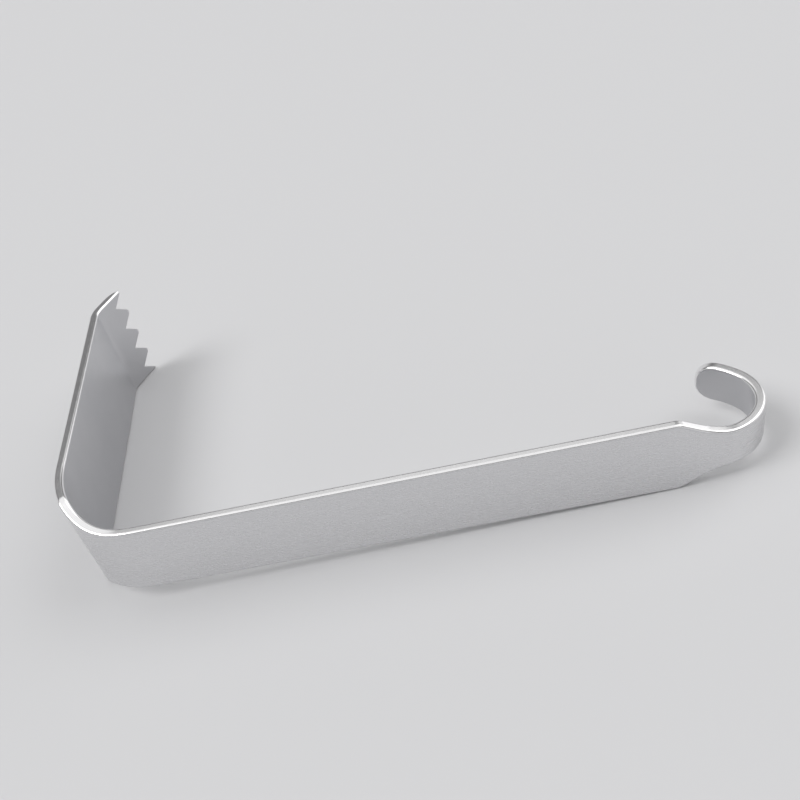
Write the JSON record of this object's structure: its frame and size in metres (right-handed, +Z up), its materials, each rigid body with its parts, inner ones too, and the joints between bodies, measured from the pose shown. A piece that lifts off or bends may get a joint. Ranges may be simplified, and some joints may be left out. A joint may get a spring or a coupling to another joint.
{
  "type": "handheld surgical retractor",
  "caption": "Handheld retractor bent from one steel strip: wide right-angled blade with a toothed lip, flat handle, narrow hooked end.",
  "frame": {"origin": "on the surface that the retractor lies on, below the middle of its bounding box", "axes": "+X along the handle from the blade to the hook, +Y from the handle towards the toothed lip, +Z up across the strip"},
  "size_m": [0.2064, 0.1154, 0.036],
  "materials": {
    "satin_steel": "fine satin, edges polished brighter"
  },
  "bodies": {
    "root": {"retractor": "satin_steel"}
  },
  "joints": []
}
